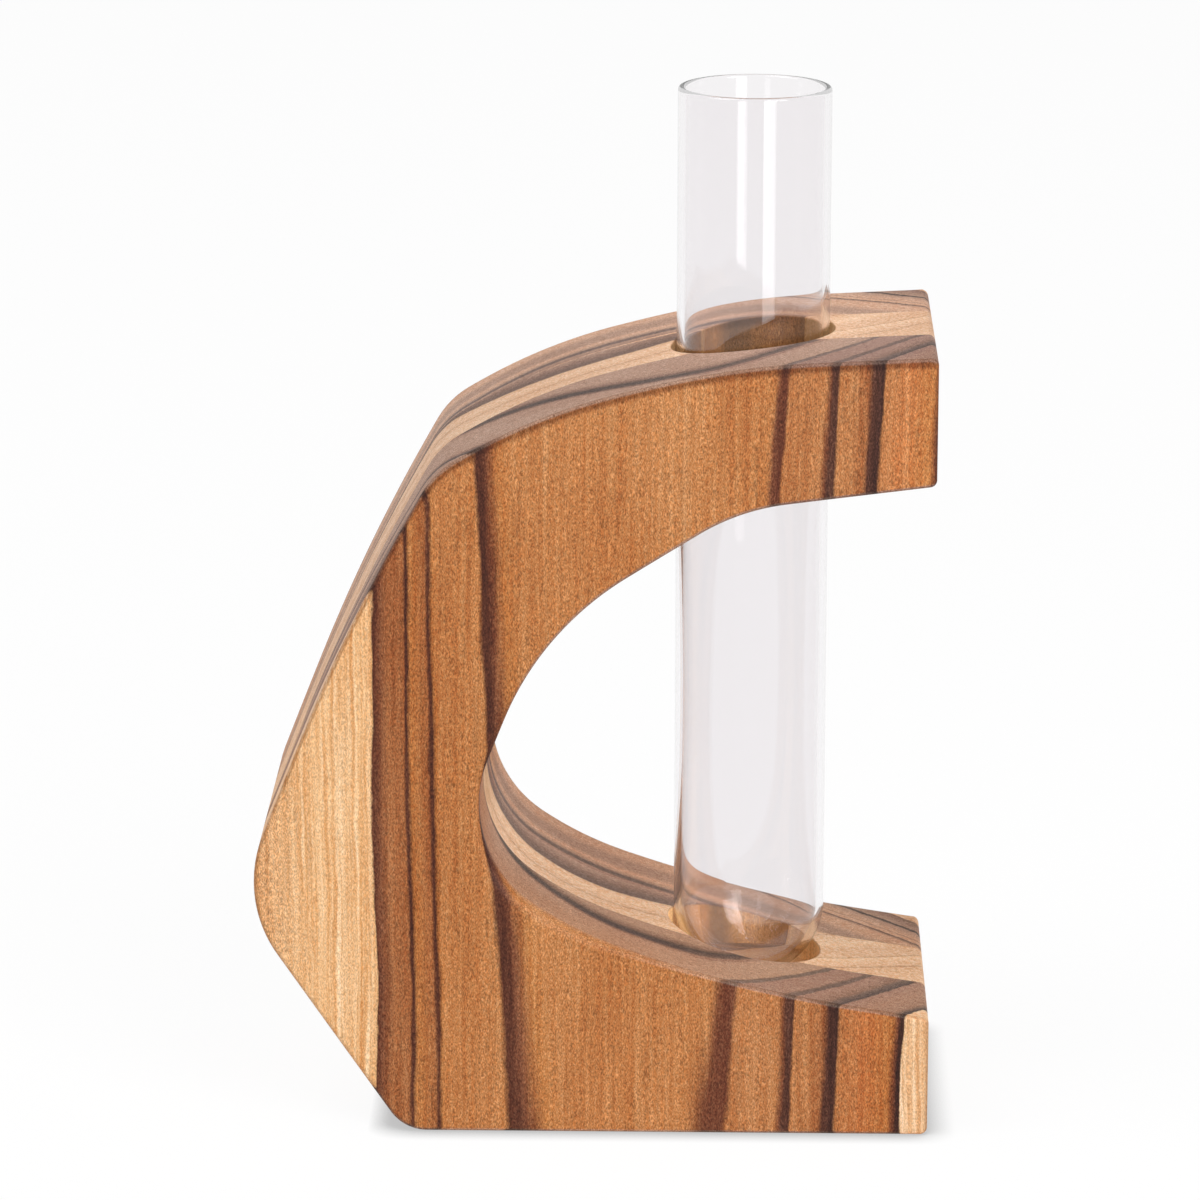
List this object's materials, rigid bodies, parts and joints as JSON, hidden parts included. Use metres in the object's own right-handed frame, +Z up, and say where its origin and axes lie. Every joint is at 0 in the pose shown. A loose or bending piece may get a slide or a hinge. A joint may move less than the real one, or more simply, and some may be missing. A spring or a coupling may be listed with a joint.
{
  "type": "test tube vase",
  "caption": "Laminated wooden C-shaped stand with an upright glass test tube, held in a recess and a hole, for single stems in water.",
  "frame": {"origin": "on the surface that the stand stands on, at the middle of the object's box", "axes": "+Z up along the tube, +X towards the open ends of the arms, +Y towards the back, so the front face looks along -Y"},
  "size_m": [0.11, 0.057, 0.1688],
  "materials": {
    "teak_front": "oiled teak heartwood, sanded, vertical grain",
    "teak_middle": "oiled teak sapwood, sanded, vertical grain",
    "teak_back": "oiled teak heartwood, sanded, vertical grain",
    "tube_glass": "clear drawn glass, fire-polished lip"
  },
  "bodies": {
    "stand": {"front_board": "teak_front", "middle_board": "teak_middle", "middle_board_tip": "teak_middle", "back_board": "teak_back"},
    "tube": {"test_tube": "tube_glass"}
  },
  "joints": [
    {"name": "tube_lift", "type": "slide", "parent": "stand", "child": "tube", "axis": [0, 0, 1], "range_m": [0, 0.115]}
  ]
}
